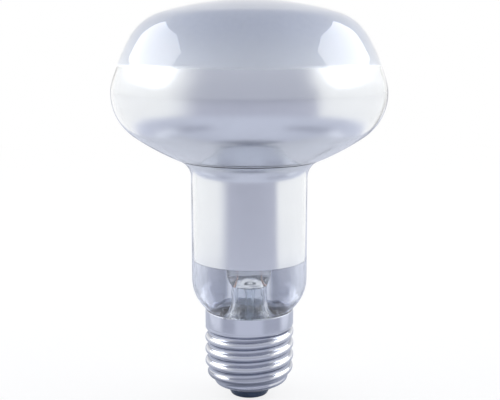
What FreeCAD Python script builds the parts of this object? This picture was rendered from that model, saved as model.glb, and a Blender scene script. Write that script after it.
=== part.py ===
"""Reflector bulb with a frosted front, a mirrored head and a rolled screw cap.

Lengths are millimetres and angles are degrees. The axis of the bulb is Z: the tip of the centre
contact stands at the origin and the front of the bulb faces up.
"""

import FreeCAD
import Part
import math
import os

import Sketcher
from FreeCAD import Placement, Rotation, Vector

# Driving sizes, in the order of the pieces from the cap upwards
SIZES = {
    # cap
    "cap_height": 26.5,
    "sheet": 0.3,
    "collar_radius": 13.1,
    "collar_height": 4.6,
    "collar_step": 0.08,
    "collar_run_in": 1.6,
    "crest_radius": 13.2,
    "thread_pitch": 3.629,
    "thread_curve": 1.025,
    "first_crest_height": 17.64,
    "corner_radius": 8.0,
    "corner_height": 10.3,
    "shell_mouth_radius": 6.6,
    "thread_fade": 5.8,
    # insulator and centre contact
    "insulator_clearance": 0.15,
    "insulator_height": 4.6,
    "insulator_foot_radius": 5.5,
    "wire_hole_radius": 1.0,
    "plate_radius": 4.2,
    "plate_thickness": 0.3,
    "solder_height": 0.35,
    "solder_radius": 2.9,
    "solder_flat_radius": 2.3,
    # glass foot inside the cap
    "mouth_gap": 0.3,
    "cement_width": 1.0,
    "cement_drop": 0.5,
    "seal_insertion": 4.0,
    # blown envelope
    "wall": 0.8,
    "neck_radius": 16.974,
    "neck_foot_curve": 12.0,
    "neck_height": 39.23,
    "waist_curve": 5.865,
    "bowl_curve": 70.4,
    "bowl_turn": 55.0,
    "rim_curve": 14.845,
    "head_radius": 39.7,
    "rim_turn": 17.6,
    "upper_side_curve": 59.87,
    "shoulder_curve": 14.9,
    "dome_curve": 88.65,
    "dome_rise": 26.605,
    # mirror layer
    "mirror_thickness": 0.1,
    "mirror_bottom": 15.2,
    "mirror_top": 8.2,
    # stem
    "mount_turn": 10.0,
    "stem_radius": 4.6,
    "stem_wall": 0.9,
    "flare_curve": 5.1,
    "flare_turn": 70.0,
    "stem_top": 33.5,
    "press_rise": 3.0,
    "press_height": 10.0,
    "press_half_width": 6.0,
    "press_half_depth": 1.9,
    "exhaust_radius": 1.3,
    "exhaust_wall": 0.5,
    "exhaust_length": 19.0,
    "rod_radius": 1.0,
    "rod_length": 17.0,
    "button_radius": 1.9,
    "button_height": 3.0,
    # wires
    "lead_spread": 3.2,
    "seal_wire_radius": 0.25,
    "inner_lead_radius": 0.3,
    "inner_lead_foot": 4.0,
    "outer_lead_radius": 0.13,
    "clamp_radius": 0.65,
    "clamp_length": 2.2,
    "side_lead_dip": 0.35,
    "weld_side": 236.3,
    "weld_length": 1.4,
    "weld_radius": 0.3,
    "weld_tip_radius": 0.2,
    "weld_drop": 0.1,
    "sleeve_radius": 1.1,
    "sleeve_length": 9.0,
    "sleeve_top": 20.0,
    "sleeve_overlap": 3.0,
    "fuse_wire_radius": 0.1,
    "fuse_foot": 2.4,
    # filament
    "filament_lift": 30.0,
    "filament_sweep": 10.0,
    "filament_radius": 0.45,
    "hook_wire_radius": 0.15,
    "hook_clearance": 0.05,
    "hook_depth": 1.2,
    "hook_step": 45.0,
}

THREAD_ROWS = 7  # flat faces up the thread for each pitch
THREAD_COLUMNS = 32  # flat faces round the thread
BEND_RATIO = 4.0  # a wire's bend radius, as a multiple of the wire's own radius
HOOK_COUNT = 3
HOOK_OPENING = 60.0  # degrees of the hook's ring that stay open


class Size:
    """A length or angle that carries its number and the formula that ties it to the sheet."""

    def __init__(self, value, text):
        self.value = float(value)
        self.text = text

    def __add__(self, other):
        other = as_size(other)
        return Size(self.value + other.value, f"({self.text} + {other.text})")

    def __sub__(self, other):
        other = as_size(other)
        return Size(self.value - other.value, f"({self.text} - {other.text})")

    def __mul__(self, other):
        other = as_size(other)
        return Size(self.value * other.value, f"({self.text} * {other.text})")

    def __truediv__(self, other):
        other = as_size(other)
        return Size(self.value / other.value, f"({self.text} / {other.text})")

    def __neg__(self):
        return Size(-self.value, f"(0 - {self.text})")


def as_size(number):
    return number if isinstance(number, Size) else Size(number, repr(float(number)))


def cosine(angle):
    return Size(math.cos(math.radians(angle.value)), f"cos({angle.text})")


def sine(angle):
    return Size(math.sin(math.radians(angle.value)), f"sin({angle.text})")


def turn_of(cosine_value):
    """The angle whose cosine is given."""
    return Size(math.degrees(math.acos(cosine_value.value)), f"acos({cosine_value.text}) / 1deg")


def polar(centre, radius, angle):
    """The point at a radius and an angle in degrees round a centre."""
    turn = math.radians(angle)
    return (centre[0] + radius * math.cos(turn), centre[1] + radius * math.sin(turn))


doc = FreeCAD.newDocument("reflector_bulb")
sheet = doc.addObject("Spreadsheet::Sheet", "sizes")
for row, (name, value) in enumerate(SIZES.items(), start=1):
    sheet.set(f"A{row}", name)
    sheet.set(f"B{row}", str(value))
    sheet.setAlias(f"B{row}", name)
doc.recompute()


def size(name):
    return Size(SIZES[name], f"sizes.{name}")


def bind(feature, **values):
    """Set properties of a feature from sizes, and keep them tied to the sheet."""
    for name, value in values.items():
        setattr(feature, name, value.value)
        feature.setExpression(name, value.text)
    return feature


def new_body(label):
    body = doc.addObject("PartDesign::Body", label)
    body.Label = label
    return body


def new_sketch(body, purpose, plane, lift=None):
    """A sketch on one of the body's own planes, lifted along that plane's normal."""
    support = next(item for item in body.Origin.OriginFeatures if item.Role == plane)
    sketch = body.newObject("Sketcher::SketchObject", f"{body.Label}_{purpose}")
    sketch.AttachmentSupport = [(support, "")]
    sketch.MapMode = "FlatFace"
    if lift is not None:
        sketch.AttachmentOffset = Placement(Vector(0, 0, lift.value), Rotation())
        sketch.setExpression("AttachmentOffset.Base.z", lift.text)
    return sketch


class Outline:
    """A chain of lines and arcs in a sketch, each joined to the one before it."""

    def __init__(self, sketch):
        self.sketch = sketch
        self.ends = []

    def add(self, shape, begin, finish, smooth):
        index = self.sketch.addGeometry(shape, False)
        if self.ends:
            last_index, _, last_finish = self.ends[-1]
            kind = "Tangent" if smooth else "Coincident"
            joint = Sketcher.Constraint(kind, last_index, last_finish, index, begin)
            self.sketch.addConstraint(joint)
        self.ends.append((index, begin, finish))

    def line(self, start, end, smooth=False):
        self.add(Part.LineSegment(Vector(*start, 0), Vector(*end, 0)), 1, 2, smooth)

    def arc(self, centre, radius, start, end, smooth=False):
        """An arc from one angle to another, clockwise where the angle falls."""
        circle = Part.Circle(Vector(*centre, 0), Vector(0, 0, 1), radius.value)
        low, high = sorted((math.radians(start), math.radians(end)))
        vertices = (1, 2) if end > start else (2, 1)
        self.add(Part.ArcOfCircle(circle, low, high), *vertices, smooth)
        self.hold("Radius", radius)

    def hold(self, kind, value, vertex=None):
        """Tie the last piece's radius, or the place of one of its ends, to a size."""
        index, begin, finish = self.ends[-1]
        if kind == "Radius":
            constraint = Sketcher.Constraint(kind, index, value.value)
        else:
            corner = {"start": begin, "end": finish, "centre": 3}[vertex]
            constraint = Sketcher.Constraint(kind, -1, 1, index, corner, value.value)
        number = self.sketch.addConstraint(constraint)
        self.sketch.setExpression(f"Constraints[{number}]", value.text)

    def on_axis(self, vertex):
        index, begin, finish = self.ends[-1]
        corner = {"start": begin, "end": finish, "centre": 3}[vertex]
        self.sketch.addConstraint(Sketcher.Constraint("PointOnObject", index, corner, -2))

    def at(self, radius, height, vertex):
        """Fix one end of the last piece at a radius and a height."""
        if radius.value == 0:
            self.on_axis(vertex)
        else:
            self.hold("DistanceX", radius, vertex)
        if height is not None:
            self.hold("DistanceY", height, vertex)

    def close(self):
        first_index, first_begin, _ = self.ends[0]
        last_index, _, last_finish = self.ends[-1]
        joint = Sketcher.Constraint("Coincident", last_index, last_finish, first_index, first_begin)
        self.sketch.addConstraint(joint)


def polygon(sketch, corners):
    """A closed section given by its corners, each fixed at its radius and height."""
    outline = Outline(sketch)
    for corner, following in zip(corners, corners[1:] + corners[:1]):
        start = (corner[0].value, corner[1].value)
        end = (following[0].value, following[1].value)
        outline.line(start, end)
        outline.at(corner[0], corner[1], "start")
    outline.close()


def revolve(body, sketch):
    """Turn a section once round the body's upright axis."""
    feature = body.newObject("PartDesign::Revolution", f"{body.Label}_turned")
    feature.Profile = sketch
    feature.ReferenceAxis = (sketch, ["V_Axis"])
    feature.Angle = 360
    body.Tip = feature
    return feature


def turned(label, corners):
    """A piece turned from a straight-sided section."""
    body = new_body(label)
    sketch = new_sketch(body, "section", "XZ_Plane")
    polygon(sketch, corners)
    revolve(body, sketch)
    return body


def circle_sketch(body, purpose, plane, radius, centre, lift=None):
    """A circle on one of the body's planes."""
    sketch = new_sketch(body, purpose, plane, lift)
    shape = Part.Circle(Vector(centre[0].value, centre[1].value, 0), Vector(0, 0, 1), radius.value)
    sketch.addGeometry(shape, False)
    limits = [("Radius", radius, (0,)), ("DistanceX", centre[0], (-1, 1, 0, 3))]
    limits.append(("DistanceY", centre[1], (-1, 1, 0, 3)))
    for kind, value, place in limits:
        if kind != "Radius" and value.value == 0:
            axis = -2 if kind == "DistanceX" else -1
            sketch.addConstraint(Sketcher.Constraint("PointOnObject", 0, 3, axis))
            continue
        number = sketch.addConstraint(Sketcher.Constraint(kind, *place, value.value))
        sketch.setExpression(f"Constraints[{number}]", value.text)
    return sketch


def pipe(body, profile, path):
    """Sweep a profile along a path."""
    feature = body.newObject("PartDesign::AdditivePipe", f"{body.Label}_swept")
    feature.Profile = profile
    feature.Spine = path
    body.Tip = feature
    return feature


ZERO = as_size(0)

# Places that several pieces share
COLLAR_BORE = size("collar_radius") - size("sheet")
MOUTH_RADIUS = COLLAR_BORE - size("mouth_gap")
SEAL_RADIUS = COLLAR_BORE - size("cement_width")
SEAL_BORE = SEAL_RADIUS - size("wall")
SEAL_BOTTOM = size("cap_height") - size("seal_insertion")
FOOT_TURN = turn_of(as_size(1) - (size("neck_radius") - MOUTH_RADIUS) / size("neck_foot_curve"))
SEAL_FILLET = (MOUTH_RADIUS - SEAL_RADIUS) / (as_size(1) - cosine(FOOT_TURN))
NECK_BOTTOM = size("cap_height") + size("neck_foot_curve") * sine(FOOT_TURN)
WAIST_HEIGHT = size("cap_height") + size("neck_height")
PRESS_BOTTOM = size("stem_top") + size("press_rise")
PRESS_TOP = PRESS_BOTTOM + size("press_height")
FILAMENT_HEIGHT = PRESS_TOP + size("filament_lift")
BUTTON_BOTTOM = PRESS_TOP + size("rod_length")
HOOK_HEIGHT = BUTTON_BOTTOM + size("button_height") / 2
HOOK_RING = size("filament_radius") + size("hook_clearance") + size("hook_wire_radius")
MOUNT = Placement(Vector(), Rotation(Vector(0, 0, 1), SIZES["mount_turn"]))


def line_up(first, second):
    """The angle of the line from one centre to another."""
    return math.degrees(math.atan2(second[1] - first[1], second[0] - first[0]))


class BlownProfile:
    """The envelope's outer profile: tangent arcs from the dome down to the foot of the neck.

    Each arc is kept as a centre, a radius and the angles where it starts and ends. The centres
    follow from the radii, because each arc is tangent to the next.
    """

    def __init__(self):
        neck = SIZES["neck_radius"]
        waist = SIZES["waist_curve"]
        bowl = SIZES["bowl_curve"]
        rim = SIZES["rim_curve"]
        side = SIZES["upper_side_curve"]
        shoulder = SIZES["shoulder_curve"]
        dome = SIZES["dome_curve"]
        low, high = -SIZES["bowl_turn"], SIZES["rim_turn"]

        waist_centre = (neck + waist, WAIST_HEIGHT.value)
        rim_across = SIZES["head_radius"] - rim
        bowl_across = polar((rim_across, 0), rim - bowl, low)[0]
        across = waist_centre[0] - bowl_across
        bowl_centre = (bowl_across, waist_centre[1] + math.sqrt((bowl + waist) ** 2 - across**2))
        rim_centre = polar(bowl_centre, bowl - rim, low)
        side_centre = polar(rim_centre, rim - side, high)
        self.top = rim_centre[1] + SIZES["dome_rise"]
        dome_centre = (0.0, self.top - dome)
        shoulder_centre = self.touching(side_centre, side - shoulder, dome_centre, dome - shoulder)

        foot_curve = SIZES["neck_foot_curve"]
        foot_centre = (neck - foot_curve, NECK_BOTTOM.value)
        turn = FOOT_TURN.value
        fillet_centre = polar(foot_centre, foot_curve + SEAL_FILLET.value, -turn)

        from_dome = line_up(dome_centre, shoulder_centre)
        from_side = line_up(side_centre, shoulder_centre)
        to_waist = line_up(bowl_centre, waist_centre)
        self.arcs = {
            "dome": (dome_centre, size("dome_curve"), 90.0, from_dome),
            "shoulder": (shoulder_centre, size("shoulder_curve"), from_dome, from_side),
            "side": (side_centre, size("upper_side_curve"), from_side, high),
            "rim": (rim_centre, size("rim_curve"), high, low),
            "bowl": (bowl_centre, size("bowl_curve"), low, to_waist),
            "waist": (waist_centre, size("waist_curve"), 180.0 + to_waist, 180.0),
            "foot": (foot_centre, size("neck_foot_curve"), 0.0, -turn),
            "fillet": (fillet_centre, SEAL_FILLET, 180.0 - turn, 180.0),
        }

    @staticmethod
    def touching(first, first_reach, second, second_reach):
        """The outer point that lies at two given distances from two centres."""
        gap = math.dist(first, second)
        along = (first_reach**2 - second_reach**2 + gap**2) / (2 * gap)
        aside = math.sqrt(first_reach**2 - along**2)
        ahead = ((second[0] - first[0]) / gap, (second[1] - first[1]) / gap)
        foot = (first[0] + ahead[0] * along, first[1] + ahead[1] * along)
        sides = [(foot[0] + s * ahead[1] * aside, foot[1] - s * ahead[0] * aside) for s in (1, -1)]
        return max(sides)

    def draw(self, outline, name, depth, backwards=False, start=None):
        """Draw one arc of the wall at a depth below the outer surface."""
        centre, radius, begin, finish = self.arcs[name]
        hollow = finish > begin
        radius = radius + depth if hollow else radius - depth
        if start is not None:
            begin = start
        if backwards:
            begin, finish = finish, begin
        outline.arc(centre, radius, begin, finish, smooth=bool(outline.ends))


def make_glass_envelope(profile):
    """One blown bulb: outer wall from the dome to the seal, then the inner wall back up."""
    body = new_body("glass_envelope")
    sketch = new_sketch(body, "section", "XZ_Plane")
    outline = Outline(sketch)
    wall = size("wall")
    upper = ["dome", "shoulder", "side", "rim", "bowl", "waist"]
    neck = SIZES["neck_radius"]
    neck_ends = (WAIST_HEIGHT.value, NECK_BOTTOM.value)
    seal_top = profile.arcs["fillet"][0][1]
    seal_bottom = SEAL_BOTTOM.value

    for name in upper:
        profile.draw(outline, name, ZERO)
        if name == "rim":
            outline.hold("DistanceX", size("head_radius") - size("rim_curve"), "centre")
    outline.line((neck, neck_ends[0]), (neck, neck_ends[1]), smooth=True)
    outline.at(size("neck_radius"), WAIST_HEIGHT, "start")
    profile.draw(outline, "foot", ZERO)
    profile.draw(outline, "fillet", ZERO)
    outline.line((SEAL_RADIUS.value, seal_top), (SEAL_RADIUS.value, seal_bottom), smooth=True)
    outline.at(SEAL_RADIUS, SEAL_BOTTOM, "end")

    outline.line((SEAL_RADIUS.value, seal_bottom), (SEAL_BORE.value, seal_bottom))
    outline.line((SEAL_BORE.value, seal_bottom), (SEAL_BORE.value, seal_top))
    outline.at(SEAL_BORE, SEAL_BOTTOM, "start")
    profile.draw(outline, "fillet", wall, backwards=True)
    profile.draw(outline, "foot", wall, backwards=True)
    inner = neck - wall.value
    outline.line((inner, neck_ends[1]), (inner, neck_ends[0]), smooth=True)
    for name in reversed(upper):
        profile.draw(outline, name, wall, backwards=True)
    outline.on_axis("end")
    outline.line((0.0, profile.top - wall.value), (0.0, profile.top))
    outline.close()
    revolve(body, sketch)
    return body


def make_mirror_coating(profile):
    """The thin metal layer on the inner wall, from the neck over the bowl to the upper side."""
    body = new_body("mirror_coating")
    sketch = new_sketch(body, "section", "XZ_Plane")
    outline = Outline(sketch)
    outside = size("wall")
    inside = outside + size("mirror_thickness")
    bottom = size("cap_height") + size("mirror_bottom")
    centre, curve, _, _ = profile.arcs["side"]
    rim_height = profile.arcs["rim"][0][1]
    edge_rise = rim_height + SIZES["mirror_top"] - centre[1]
    top_turn = math.degrees(math.asin(edge_rise / curve.value))
    names = ["side", "rim", "bowl", "waist"]

    for name in names:
        profile.draw(outline, name, outside, start=top_turn if name == "side" else None)
    outer = size("neck_radius") - outside
    inner = size("neck_radius") - inside
    outline.line((outer.value, WAIST_HEIGHT.value), (outer.value, bottom.value), smooth=True)
    outline.at(outer, bottom, "end")
    outline.line((outer.value, bottom.value), (inner.value, bottom.value))
    outline.line((inner.value, bottom.value), (inner.value, WAIST_HEIGHT.value))
    outline.at(inner, bottom, "start")
    for name in reversed(names):
        start = top_turn if name == "side" else None
        profile.draw(outline, name, inside, backwards=True, start=start)
    upper_inside = polar(centre, curve.value - inside.value, top_turn)
    upper_outside = polar(centre, curve.value - outside.value, top_turn)
    outline.line(upper_inside, upper_outside)
    outline.close()
    revolve(body, sketch)
    return body


def make_cap_cement():
    """The ring of cement between the collar of the cap and the glass seal."""
    top = size("cap_height") - size("cement_drop") - SEAL_FILLET * sine(FOOT_TURN)
    bottom = SEAL_BOTTOM
    corners = [(SEAL_RADIUS, bottom), (COLLAR_BORE, bottom), (COLLAR_BORE, top), (SEAL_RADIUS, top)]
    return turned("cap_cement_ring", corners)


class RolledThread:
    """The sheet below the collar: a round corner and a wall, rolled into a rounded screw thread.

    A place on the sheet is its run up the section from the mouth of the shell, and its direction
    round the axis. The thread is made of equal arcs, crests and hollows alike, wound right-handed.
    """

    def __init__(self):
        self.pitch = SIZES["thread_pitch"]
        self.curve = SIZES["thread_curve"]
        self.slope = math.asin(self.pitch / (4 * self.curve))
        self.half_depth = self.curve * (1 - math.cos(self.slope))
        self.middle = SIZES["crest_radius"] - self.half_depth
        self.corner = SIZES["corner_radius"]
        self.corner_across = self.middle - self.corner
        reach = (SIZES["shell_mouth_radius"] - self.corner_across) / self.corner
        self.mouth_turn = math.acos(reach)
        self.corner_run = self.corner * self.mouth_turn
        self.collar_bottom = SIZES["cap_height"] - SIZES["collar_height"]
        self.run = self.corner_run + self.collar_bottom - SIZES["corner_height"]

    def base(self, run):
        """The middle of the thread's depth: radius, height and the way that the sheet faces."""
        height = SIZES["corner_height"]
        if run >= self.corner_run:
            return self.middle, height + run - self.corner_run, 0.0
        turn = (run - self.corner_run) / self.corner
        radius, height = polar((self.corner_across, height), self.corner, math.degrees(turn))
        return radius, height, turn

    def wave(self, run, direction):
        """Height of the thread above its middle, and its slope, at full depth."""
        crest = SIZES["first_crest_height"] - SIZES["corner_height"] + self.corner_run
        crest += self.pitch * (direction / (2 * math.pi) - 0.5)
        quarter = self.pitch / 4
        place = (run - crest + quarter) % self.pitch - quarter
        sign = 1.0
        if place > quarter:
            place -= 2 * quarter
            sign = -1.0
        rise = math.sqrt(self.curve**2 - place**2)
        return sign * (rise - self.curve * math.cos(self.slope)), -sign * place / rise

    @staticmethod
    def eased(share):
        share = min(1.0, max(0.0, share))
        return share * share * (3 - 2 * share)

    def place(self, run, direction, inside):
        """A point of the outer or the inner side of the sheet."""
        radius, height, turn = self.base(run)
        rise, slope = self.wave(run, direction)
        fade = self.eased((run - SIZES["thread_pitch"] / 4) / SIZES["thread_fade"])
        run_in = SIZES["collar_run_in"]
        collar = self.eased((height - self.collar_bottom + run_in) / run_in)
        lift = fade * rise * (1 - collar)
        lift += collar * (SIZES["collar_radius"] - SIZES["collar_step"] - self.middle)
        slope *= fade * (1 - collar)
        if inside:
            depth = SIZES["sheet"] - 2 * SIZES["collar_step"] * collar
            length = math.hypot(1.0, slope)
            lift -= depth / length
            ahead = depth * slope / length
        else:
            ahead = 0.0
        across = radius + lift * math.cos(turn) - ahead * math.sin(turn)
        up = height + lift * math.sin(turn) + ahead * math.cos(turn)
        return Vector(across * math.cos(direction), across * math.sin(direction), up)

    def grid(self, inside):
        """Corners on one side of the sheet: a column for each direction, from the mouth up."""
        rows = round(self.run / self.pitch * THREAD_ROWS)
        runs = [self.run * row / rows for row in range(rows + 1)]
        turns = [2 * math.pi * column / THREAD_COLUMNS for column in range(THREAD_COLUMNS)]
        columns = [[Part.Vertex(self.place(run, turn, inside)) for run in runs] for turn in turns]
        return columns + columns[:1]


class FlatSheet:
    """Small flat faces that share their edges, all facing out of the sheet."""

    def __init__(self):
        self.edges = {}
        self.faces = []

    def edge(self, start, end):
        key = frozenset((id(start), id(end)))
        if key not in self.edges:
            self.edges[key] = Part.Edge(start, end)
        return self.edges[key]

    def face(self, *corners):
        following = corners[1:] + corners[:1]
        wire = Part.Wire([self.edge(start, end) for start, end in zip(corners, following)])
        across, up = (corner.Point - corners[0].Point for corner in corners[1:3])
        self.add(Part.Face(wire), across.cross(up))

    def add(self, face, outwards):
        """Keep a flat face, turned over where it faces into the sheet."""
        if face.normalAt(0, 0).dot(outwards) < 0:
            face.reverse()
        self.faces.append(face)

    def side(self, columns):
        """Two faces for each step up and round the sheet."""
        for left, right in zip(columns, columns[1:]):
            for row in range(len(left) - 1):
                self.face(left[row], right[row], right[row + 1])
                self.face(left[row], right[row + 1], left[row + 1])

    def rim(self, columns):
        """The outline of the sheet's upper end."""
        pairs = zip(columns, columns[1:])
        return Part.Wire([self.edge(left[-1], right[-1]) for left, right in pairs])

    def ring(self, outline, hole, outwards):
        """A flat ring between two outlines."""
        self.add(Part.makeFace([outline, hole], "Part::FaceMakerBullseye").Faces[0], outwards)


def make_cap_shell():
    """The sheet cap in one piece: a plain collar, and below it the rolled thread."""
    thread = RolledThread()
    outer = thread.grid(inside=False)
    inner = thread.grid(inside=True)
    sheet_faces = FlatSheet()
    sheet_faces.side(outer)
    sheet_faces.side(inner[::-1])
    for column in range(THREAD_COLUMNS):
        mouth = [outer[column][0], inner[column][0], inner[column + 1][0], outer[column + 1][0]]
        sheet_faces.face(*mouth)

    height = size("collar_height").value
    foot = Vector(0, 0, thread.collar_bottom)
    outside = Part.makeCylinder(SIZES["collar_radius"], height, foot).Faces[0]
    bore = Part.makeCylinder(COLLAR_BORE.value, height, foot).Faces[0]
    outside_ends, bore_ends = round_ends(outside), round_ends(bore)
    bore.reverse()
    sheet_faces.faces += [outside, bore]
    sheet_faces.ring(outside_ends[1], bore_ends[1], Vector(0, 0, 1))
    sheet_faces.ring(outside_ends[0], sheet_faces.rim(outer), Vector(0, 0, -1))
    sheet_faces.ring(sheet_faces.rim(inner), bore_ends[0], Vector(0, 0, -1))
    shell = doc.addObject("Part::Feature", "cap_shell")
    shell.Shape = Part.makeSolid(Part.makeShell(sheet_faces.faces))
    return shell


def round_ends(cylinder):
    """The lower and the upper circle of a cylinder's wall."""
    circles = [edge for edge in cylinder.Edges if edge.isClosed()]
    circles.sort(key=lambda edge: edge.CenterOfMass.z)
    return [Part.Wire(circle) for circle in circles]


def make_cap_insulator():
    """The black glass that fills the lower end of the shell and shows as a cone below it."""
    body = new_body("cap_insulator")
    sketch = new_sketch(body, "section", "XZ_Plane")
    thread = RolledThread()
    centre = (thread.corner_across, SIZES["corner_height"])
    curve = size("corner_radius") - size("sheet") - size("insulator_clearance")
    top = size("solder_height") + size("insulator_height")
    top_turn = math.degrees(math.asin((top.value - centre[1]) / curve.value))
    start_turn = -math.degrees(math.acos((SIZES["shell_mouth_radius"] - centre[0]) / curve.value))
    foot = (SIZES["insulator_foot_radius"], SIZES["solder_height"])
    hole = size("wire_hole_radius")
    inset = size("plate_radius")
    plate_top = size("solder_height") + size("plate_thickness")

    outline = Outline(sketch)
    lip = polar(centre, SIZES["corner_radius"], start_turn)
    outline.line(foot, lip)
    outline.at(size("insulator_foot_radius"), size("solder_height"), "start")
    outline.line(lip, polar(centre, curve.value, start_turn))
    outline.arc(centre, curve, start_turn, top_turn)
    shoulder = polar(centre, curve.value, top_turn)
    outline.line(shoulder, (hole.value, top.value))
    outline.at(hole, top, "end")
    outline.line((hole.value, top.value), (hole.value, plate_top.value))
    outline.line((hole.value, plate_top.value), (inset.value, plate_top.value))
    outline.at(hole, plate_top, "start")
    outline.line((inset.value, plate_top.value), (inset.value, foot[1]))
    outline.at(inset, plate_top, "start")
    outline.line((inset.value, foot[1]), foot)
    outline.at(inset, size("solder_height"), "start")
    outline.close()
    revolve(body, sketch)
    return body


def make_contact_plate():
    """The metal disc let into the insulator, with the hole for the lead."""
    bottom = size("solder_height")
    top = bottom + size("plate_thickness")
    hole = size("wire_hole_radius")
    rim = size("plate_radius")
    return turned("contact_plate", [(hole, bottom), (rim, bottom), (rim, top), (hole, top)])


def make_contact_solder():
    """The flat drop of solder that is the centre contact, with a stub in the plate's hole."""
    face = size("solder_height")
    top = face + size("plate_thickness")
    corners = [(ZERO, ZERO), (size("solder_flat_radius"), ZERO), (size("solder_radius"), face)]
    corners += [(size("wire_hole_radius"), face), (size("wire_hole_radius"), top), (ZERO, top)]
    return turned("contact_solder", corners)


def make_stem_flare():
    """The flared tube, its shoulder and its flat press, with the holes for the two seal wires."""
    body = new_body("stem_flare")
    sketch = new_sketch(body, "tube_section", "XZ_Plane")
    outline = Outline(sketch)
    wall = size("stem_wall")
    upper_curve = size("flare_curve")
    lower_curve = upper_curve + wall
    turn = SIZES["flare_turn"]
    reach = SIZES["stem_radius"] + upper_curve.value
    lean = math.radians(turn)
    low_point = (reach - lower_curve.value * math.cos(lean), -lower_curve.value * math.sin(lean))
    fall = (SEAL_BORE.value - low_point[0]) / math.tan(lean)
    centre = (reach, SEAL_BOTTOM.value + fall - low_point[1])
    upper_end = polar(centre, upper_curve.value, 180 + turn)
    lower_end = polar(centre, lower_curve.value, 180 + turn)
    upper_seat = upper_end[1] - (SEAL_BORE.value - upper_end[0]) / math.tan(lean)
    tube = size("stem_radius")
    bore = tube - wall
    top = size("stem_top")

    outline.line((tube.value, top.value), (tube.value, centre[1]))
    outline.at(tube, top, "start")
    outline.arc(centre, upper_curve, 180, 180 + turn, smooth=True)
    outline.line(upper_end, (SEAL_BORE.value, upper_seat), smooth=True)
    outline.line((SEAL_BORE.value, upper_seat), (SEAL_BORE.value, SEAL_BOTTOM.value))
    outline.at(SEAL_BORE, SEAL_BOTTOM, "end")
    outline.line((SEAL_BORE.value, SEAL_BOTTOM.value), lower_end)
    outline.arc(centre, lower_curve, 180 + turn, 180, smooth=True)
    outline.line((bore.value, centre[1]), (bore.value, top.value), smooth=True)
    outline.at(bore, top, "end")
    outline.line((bore.value, top.value), (tube.value, top.value))
    outline.close()
    revolve(body, sketch)

    ring = circle_sketch(body, "tube_end", "XY_Plane", tube, (ZERO, ZERO), top)
    flat = new_sketch(body, "press_section", "XY_Plane", PRESS_BOTTOM)
    width = size("press_half_width")
    depth = size("press_half_depth")
    ellipse = Part.Ellipse(Vector(width.value, 0, 0), Vector(0, depth.value, 0), Vector())
    flat.addGeometry(ellipse, False)
    flat.exposeInternalGeometry(0)
    flat.addConstraint(Sketcher.Constraint("Coincident", 0, 3, -1, 1))
    flat.addConstraint(Sketcher.Constraint("Horizontal", 1))
    for axis, half in ((1, width), (2, depth)):
        number = flat.addConstraint(Sketcher.Constraint("Distance", axis, 2 * half.value))
        flat.setExpression(f"Constraints[{number}]", (half * 2).text)
    shoulder = body.newObject("PartDesign::AdditiveLoft", "press_shoulder")
    shoulder.Profile = ring
    shoulder.Sections = [flat]
    press = body.newObject("PartDesign::Pad", "press")
    press.Profile = flat
    bind(press, Length=size("press_height"))
    body.Tip = press
    doc.recompute()
    for side, name in ((-1, "left"), (1, "right")):
        place = (size("lead_spread") * side, ZERO)
        wire = size("seal_wire_radius")
        hole = circle_sketch(body, f"{name}_hole", "XY_Plane", wire, place, top)
        cut = body.newObject("PartDesign::Pocket", f"wire_hole_{name}")
        cut.Profile = hole
        cut.Reversed = True
        bind(cut, Length=size("press_rise") + size("press_height"))
        body.Tip = cut
        doc.recompute()
    body.Placement = MOUNT
    return body


def make_exhaust_tube():
    """The thin tube below the shoulder, melted shut to a point at its lower end."""
    top = size("stem_top")
    bottom = top - size("exhaust_length")
    outer = size("exhaust_radius")
    inner = outer - size("exhaust_wall")
    tip = bottom - outer
    corners = [(inner, top), (inner, bottom + outer), (ZERO, bottom), (ZERO, tip)]
    corners += [(outer / 2, tip + outer / 4), (outer, bottom + outer / 2), (outer, top)]
    return turned("exhaust_tube", corners)


def make_support_rod():
    """The glass rod on the press, and its button with a hole for each hook."""
    rod = size("rod_radius")
    button = size("button_radius")
    top = BUTTON_BOTTOM + size("button_height")
    slope = button - rod
    corners = [(ZERO, PRESS_TOP), (rod, PRESS_TOP), (rod, BUTTON_BOTTOM)]
    corners += [(button, BUTTON_BOTTOM + slope), (button, top - slope), (rod, top), (ZERO, top)]
    blank = turned("support_rod_blank", corners)
    holes = []
    for number in range(HOOK_COUNT):
        drill = doc.addObject("Part::Cylinder", f"hook_hole_{number + 1}")
        bind(drill, Radius=size("hook_wire_radius"), Height=button * 2)
        start = button.value - SIZES["hook_depth"]
        drill.Placement = radial_place(hook_direction(number), start, HOOK_HEIGHT.value)
        holes.append(drill)
    drills = doc.addObject("Part::MultiFuse", "hook_holes")
    drills.Shapes = holes
    rod_piece = doc.addObject("Part::Cut", "support_rod")
    rod_piece.Base = blank
    rod_piece.Tool = drills
    rod_piece.Placement = MOUNT
    return rod_piece


def radial_place(direction, start, height):
    """Lay an upright cylinder along a radius, starting at a distance from the axis."""
    turn = Rotation(Vector(0, 0, 1), direction)
    lay = Rotation(Vector(0, 1, 0), 90)
    return Placement(turn.multVec(Vector(start, 0, height)), turn * lay)


def hook_direction(number):
    """The hooks stand evenly about the middle of the filament's half ring."""
    return 90 + SIZES["hook_step"] * (number - (HOOK_COUNT - 1) / 2)


def make_seal_wire(name, side):
    """A straight wire through the shoulder and the press."""
    wire = doc.addObject("Part::Cylinder", name)
    bind(wire, Radius=size("seal_wire_radius"), Height=size("press_rise") + size("press_height"))
    at = MOUNT.multVec(Vector(side * SIZES["lead_spread"], 0, SIZES["stem_top"]))
    wire.Placement = Placement(at, Rotation())
    return wire


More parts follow.
